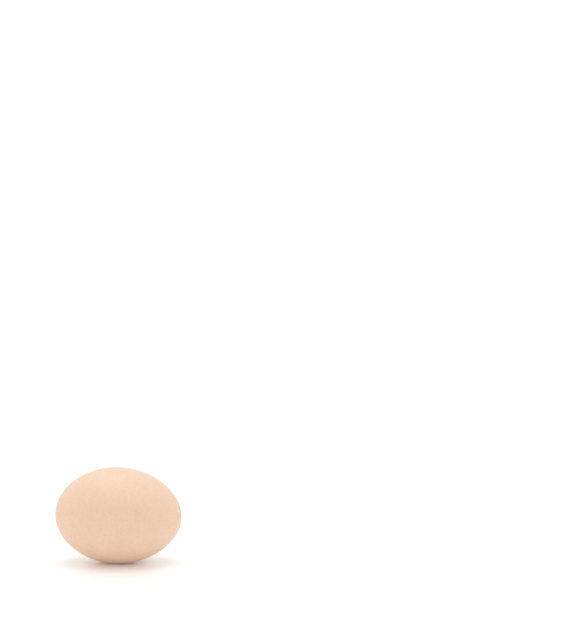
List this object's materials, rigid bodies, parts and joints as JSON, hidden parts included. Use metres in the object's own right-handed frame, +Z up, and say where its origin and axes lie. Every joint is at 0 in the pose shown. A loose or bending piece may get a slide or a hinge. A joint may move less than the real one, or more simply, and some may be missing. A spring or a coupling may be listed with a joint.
{
  "type": "egg",
  "caption": "Whole pale brown hen's egg lying on its side: a smooth oval shell with one end slightly blunter, resting on a small flat spot.",
  "frame": {"origin": "middle of the egg's outline seen from above, on the surface that it rests on, which is also about the middle of the resting spot", "axes": "+Z up; +X along the egg's length towards the pointed end, which dips 2.6 degrees; the blunt end is towards -X"},
  "size_m": [0.057, 0.0434, 0.0432],
  "materials": {
    "eggshell": "satin"
  },
  "bodies": {
    "root": {"egg": "eggshell"}
  },
  "joints": []
}
